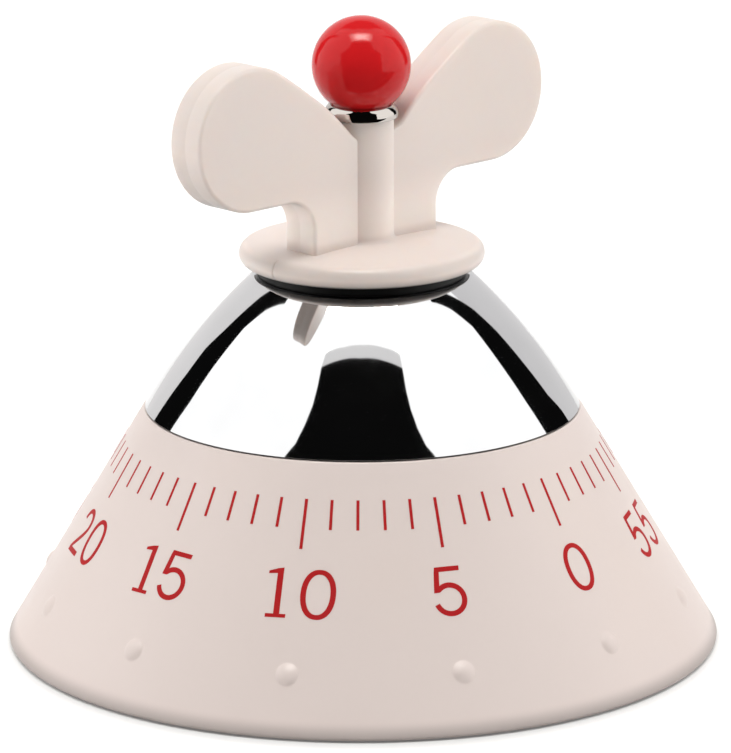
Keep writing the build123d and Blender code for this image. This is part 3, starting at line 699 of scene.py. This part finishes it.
# ---------------------------------------------------------------------------
# camera at the photograph's viewing angle
# ---------------------------------------------------------------------------
TURN = -44.2                     # camera's azimuth from -Y, degrees
YAW, PITCH, ROLL = 0.00061, 0.2585, -0.0032
DIST, HIGH, FOCAL_PX = 0.800, 0.25252, 5357.23
spin = Matrix.Rotation(math.radians(TURN), 3, "Z")


def stage_pt(x, y, z):
    """Studio coordinates: the camera stands at -y, x runs to the picture's right."""
    return spin @ Vector((x, y, z))


fw = Vector((math.sin(YAW) * math.cos(PITCH), math.cos(YAW) * math.cos(PITCH), -math.sin(PITCH)))
rt = Vector((math.cos(YAW), -math.sin(YAW), 0.0))
up = rt.cross(fw)
rt, up = math.cos(ROLL) * rt + math.sin(ROLL) * up, -math.sin(ROLL) * rt + math.cos(ROLL) * up
rot = Matrix((spin @ rt, spin @ up, -(spin @ fw))).transposed()
cam_data = bpy.data.cameras.new("camera")
cam_data.sensor_fit = "AUTO"
cam_data.sensor_width = 36.0
cam_data.lens = FOCAL_PX * 36.0 / 753.0
cam_data.clip_start, cam_data.clip_end = 0.05, 20.0
cam_data.dof.use_dof = False
cam = bpy.data.objects.new("camera", cam_data)
cam.matrix_world = Matrix.Translation(stage_pt(0, -DIST, HIGH)) @ rot.to_4x4()
scene.collection.objects.link(cam)
scene.camera = cam

# ---------------------------------------------------------------------------
# studio: white surround, dark opening on the camera's side, overhead softbox
# ---------------------------------------------------------------------------
scene.view_settings.view_transform = "Standard"
scene.view_settings.look = "None"
scene.view_settings.exposure = 0.0
scene.view_settings.gamma = 1.0
scene.cycles.caustics_reflective = False

world = bpy.data.worlds.new("surround")
scene.world = world
world.use_nodes = True
bg = world.node_tree.nodes["Background"]
bg.inputs["Color"].default_value = (1.0, 0.995, 0.985, 1.0)
bg.inputs["Strength"].default_value = 1.47


def glow(name, color, strength):
    m = bpy.data.materials.new(name)
    m.use_nodes = True
    b = m.node_tree.nodes["Principled BSDF"]
    b.inputs["Base Color"].default_value = (0.0, 0.0, 0.0, 1)
    b.inputs["Specular IOR Level"].default_value = 0.0
    b.inputs["Roughness"].default_value = 1.0
    b.inputs["Emission Color"].default_value = (*color, 1)
    b.inputs["Emission Strength"].default_value = strength
    return m


def card(name, corners, mat):
    me = bpy.data.meshes.new(name)
    me.from_pydata([tuple(stage_pt(*c)) for c in corners], [], [tuple(range(len(corners)))])
    me.materials.append(mat)
    ob = bpy.data.objects.new(name, me)
    scene.collection.objects.link(ob)
    ob.visible_camera = False
    return ob


def ribbon(name, left, right, dist, mat):
    """Upright card between two edges given as (azimuth, elevation) seen from the dome; azimuth 0 is the camera's side."""
    pts = []
    for a, e in left + right[::-1]:
        a, e = math.radians(a), math.radians(e)
        pts.append(tuple(stage_pt(dist * math.sin(a), -dist * math.cos(a), 0.046 + dist * math.tan(e))))
    n = len(left)
    me = bpy.data.meshes.new(name)
    me.from_pydata(pts, [], [(k, k + 1, 2 * n - 2 - k, 2 * n - 1 - k) for k in range(n - 1)])
    me.materials.append(mat)
    ob = bpy.data.objects.new(name, me)
    scene.collection.objects.link(ob)
    ob.visible_camera = False
    return ob


dark = glow("dark_cloth", (0.004, 0.004, 0.004), 1.0)
dim = glow("dim_ceiling", (0.10, 0.10, 0.10), 1.0)
grey = glow("grey_edge", (0.90, 0.885, 0.88), 1.0)
back = glow("grey_back", (0.90, 0.88, 0.875), 1.0)
back_dim = glow("grey_back_dim", (0.80, 0.785, 0.785), 1.0)
lamp = glow("softbox", (1.0, 0.985, 0.95), 10.5)
F = -0.56
opening_top = [(0.512, 1.389), (0.267, 1.349), (-0.018, 1.323), (-0.309, 1.370), (-0.534, 1.418)]
band_top = [(-0.549, 1.636), (-0.242, 1.546), (0.006, 1.525), (0.314, 1.564), (0.559, 1.627)]
opening = ([(-0.68, 0.0), (0.64, 0.0), (0.66, 0.50), (0.78, 0.585), (0.62, 0.70), (0.559, 0.731), (0.479, 0.767), (0.445, 0.847), (0.434, 0.965), (0.453, 1.126)]
           + opening_top + [(-0.486, 1.181), (-0.467, 1.010), (-0.486, 0.889), (-0.527, 0.798), (-0.626, 0.757), (-0.70, 0.72), (-0.86, 0.595), (-0.70, 0.50)])
card("dark_opening", [(x, F, z) for x, z in opening], dark)
card("opening_edge", [(x, F, z) for x, z in opening_top + band_top], grey)
ribbon("dark_strip_left", [(-138.5, -3), (-138, 7), (-136.8, 13), (-137.5, 16), (-134.8, 21), (-130.9, 31), (-121.9, 43), (-112.6, 50)],
       [(-124.5, -3), (-124.5, 7), (-120.8, 15), (-119.8, 20), (-121, 25), (-121.9, 32), (-118.2, 39), (-109, 48)], 0.75, dark)
ribbon("dark_strip_right", [(120, -3), (118, 9), (113.8, 17), (113.6, 24), (114.9, 30), (117, 36), (113.2, 43), (104, 52)],
       [(136, -3), (135, 9), (132, 13), (131.3, 18), (131, 24), (128.8, 30), (120.9, 40.5), (106.5, 53)], 0.75, dark)
ribbon("back_left", [(-172, -3), (-172, 20), (-172, 45)], [(-132, -3), (-130, 20), (-122, 45)], 0.85, back)
ribbon("back_right", [(130, -3), (128, 20), (123, 45)], [(172, -3), (172, 20), (172, 45)], 0.85, back_dim)
ribbon("back_mid", [(172, -3), (172, 45)], [(188, -3), (188, 45)], 0.85, back)
softbox = card("overhead_softbox", [(-0.26, -0.36, 1.25), (0.26, -0.36, 1.25), (0.26, -0.01, 1.25), (-0.26, -0.01, 1.25)], lamp)
softbox.visible_glossy = False
card("dim_ceiling", [(-0.3, 0.3, 1.35), (0.3, 0.3, 1.35), (0.9, 1.0, 0.85), (-0.9, 1.0, 0.85)], dim)
for name, half, y0, y1, level in (("glint_wide", 0.44, -0.42, 0.02, 7.0), ("glint_mid", 0.32, -0.38, -0.04, 14.0), ("glint_core", 0.19, -0.33, -0.10, 24.0)):
    z = 1.24 - 0.01 * level / 7.0
    glint = card(name, [(-half, y0, z), (half, y0, z), (half, y1, z), (-half, y1, z)], glow(name, (1.0, 0.97, 0.92), level))
    glint.visible_diffuse = False
    glint.visible_shadow = False
front = card("dark_front", [(-0.72, -0.56, 0.001), (0.68, -0.56, 0.001), (0.5, -0.42, 0.001), (0.5, -0.06, 0.001), (-0.5, -0.06, 0.001), (-0.5, -0.42, 0.001)], dark)
front.visible_diffuse = False
front.visible_shadow = False

floor_mat = bpy.data.materials.new("floor")
floor_mat.use_nodes = True
fb = floor_mat.node_tree.nodes["Principled BSDF"]
fb.inputs["Roughness"].default_value = 0.9
fb.inputs["Specular IOR Level"].default_value = 0.1
fb.inputs["Emission Color"].default_value = (1, 1, 1, 1)
ft = floor_mat.node_tree
# painted shadow: the floor's colour and emission drop within 51.5 to 56.5 mm of a point 3.8 mm towards the camera from
# the centre, a contact shadow round the skirt's foot
reach = ft.nodes.new("ShaderNodeVectorMath")
reach.operation = "DISTANCE"
reach.inputs[1].default_value = stage_pt(0.0, -0.0038, 0.0)
ft.links.new(ft.nodes.new("ShaderNodeTexCoord").outputs["Object"], reach.inputs[0])
for lo, hi, sock in ((0.10, 0.15, "Emission Strength"), (0.66, 0.90, "Base Color")):
    near = ft.nodes.new("ShaderNodeMapRange")
    near.interpolation_type = "SMOOTHSTEP"
    near.inputs["From Min"].default_value, near.inputs["From Max"].default_value = 0.0515, 0.0565
    near.inputs["To Min"].default_value, near.inputs["To Max"].default_value = lo, hi
    ft.links.new(reach.outputs["Value"], near.inputs["Value"])
    ft.links.new(near.outputs["Result"], fb.inputs[sock])
fm = bpy.data.meshes.new("floor")
fm.from_pydata([(3.0 * math.cos(2 * math.pi * k / 96), 3.0 * math.sin(2 * math.pi * k / 96), -0.00003) for k in range(96)], [], [tuple(range(96))])
fm.materials.append(floor_mat)
floor = bpy.data.objects.new("floor", fm)
scene.collection.objects.link(floor)
